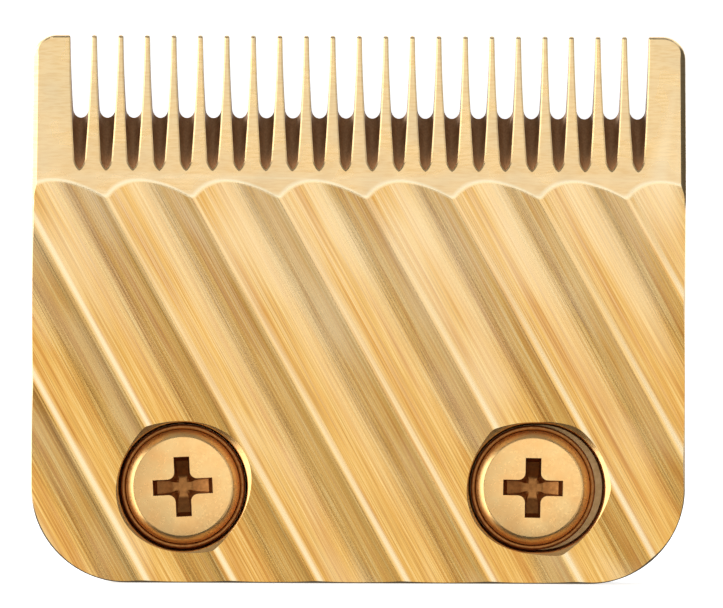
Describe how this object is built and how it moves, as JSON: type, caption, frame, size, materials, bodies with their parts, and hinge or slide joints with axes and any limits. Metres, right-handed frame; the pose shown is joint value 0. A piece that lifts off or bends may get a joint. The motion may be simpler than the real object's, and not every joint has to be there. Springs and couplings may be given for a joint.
{
  "type": "hair clipper blade head",
  "caption": "Adjustable hair clipper blade head: fluted toothed blade on a sliding carrier, with a sprung cutter and drive yoke behind it.",
  "frame": {"origin": "centre of the flat rear seat of the base, where it meets the clipper's body", "axes": "+Z towards the tooth tips, +X to the right as seen from the fluted front, +Y from the blade back towards the clipper's body"},
  "size_m": [0.046, 0.0112, 0.0386],
  "materials": {
    "blade_gold": "titanium-nitride coated, flutes ground along their length",
    "screw_gold": "titanium-nitride coated, satin",
    "plated_steel": "nickel plated, satin",
    "spring_steel": "rolled spring steel",
    "cutter_steel": "dark carbon coated, ground",
    "black_nylon": "glass-filled nylon, moulded, fine texture",
    "white_acetal": "acetal, moulded",
    "brass": "turned"
  },
  "bodies": {
    "base": {"head_base": "black_nylon", "guide_pin_left": "plated_steel", "guide_pin_right": "plated_steel", "mount_insert_left": "brass", "mount_insert_right": "brass", "tension_spring_left": "spring_steel", "tension_spring_right": "spring_steel", "spring_screw_left": "plated_steel", "spring_screw_right": "plated_steel", "guide_rail": "white_acetal"},
    "comb": {"carrier_plate": "plated_steel", "fixed_blade": "blade_gold", "clamp_screw_left": "screw_gold", "clamp_screw_right": "screw_gold", "clamp_washer_left": "screw_gold", "clamp_washer_right": "screw_gold", "clamp_nut_left": "plated_steel", "clamp_nut_right": "plated_steel", "taper_pin": "plated_steel"},
    "cutter": {"moving_blade": "cutter_steel", "drive_yoke": "black_nylon", "yoke_rivet_left": "plated_steel", "yoke_rivet_right": "plated_steel"}
  },
  "joints": [
    {"name": "taper_adjust", "type": "slide", "parent": "base", "child": "comb", "axis": [0, 0, 1], "range_m": [0, 0.002]},
    {"name": "cutter_stroke", "type": "slide", "parent": "base", "child": "cutter", "axis": [1, 0, 0], "range_m": [-0.0014, 0.0014]}
  ]
}
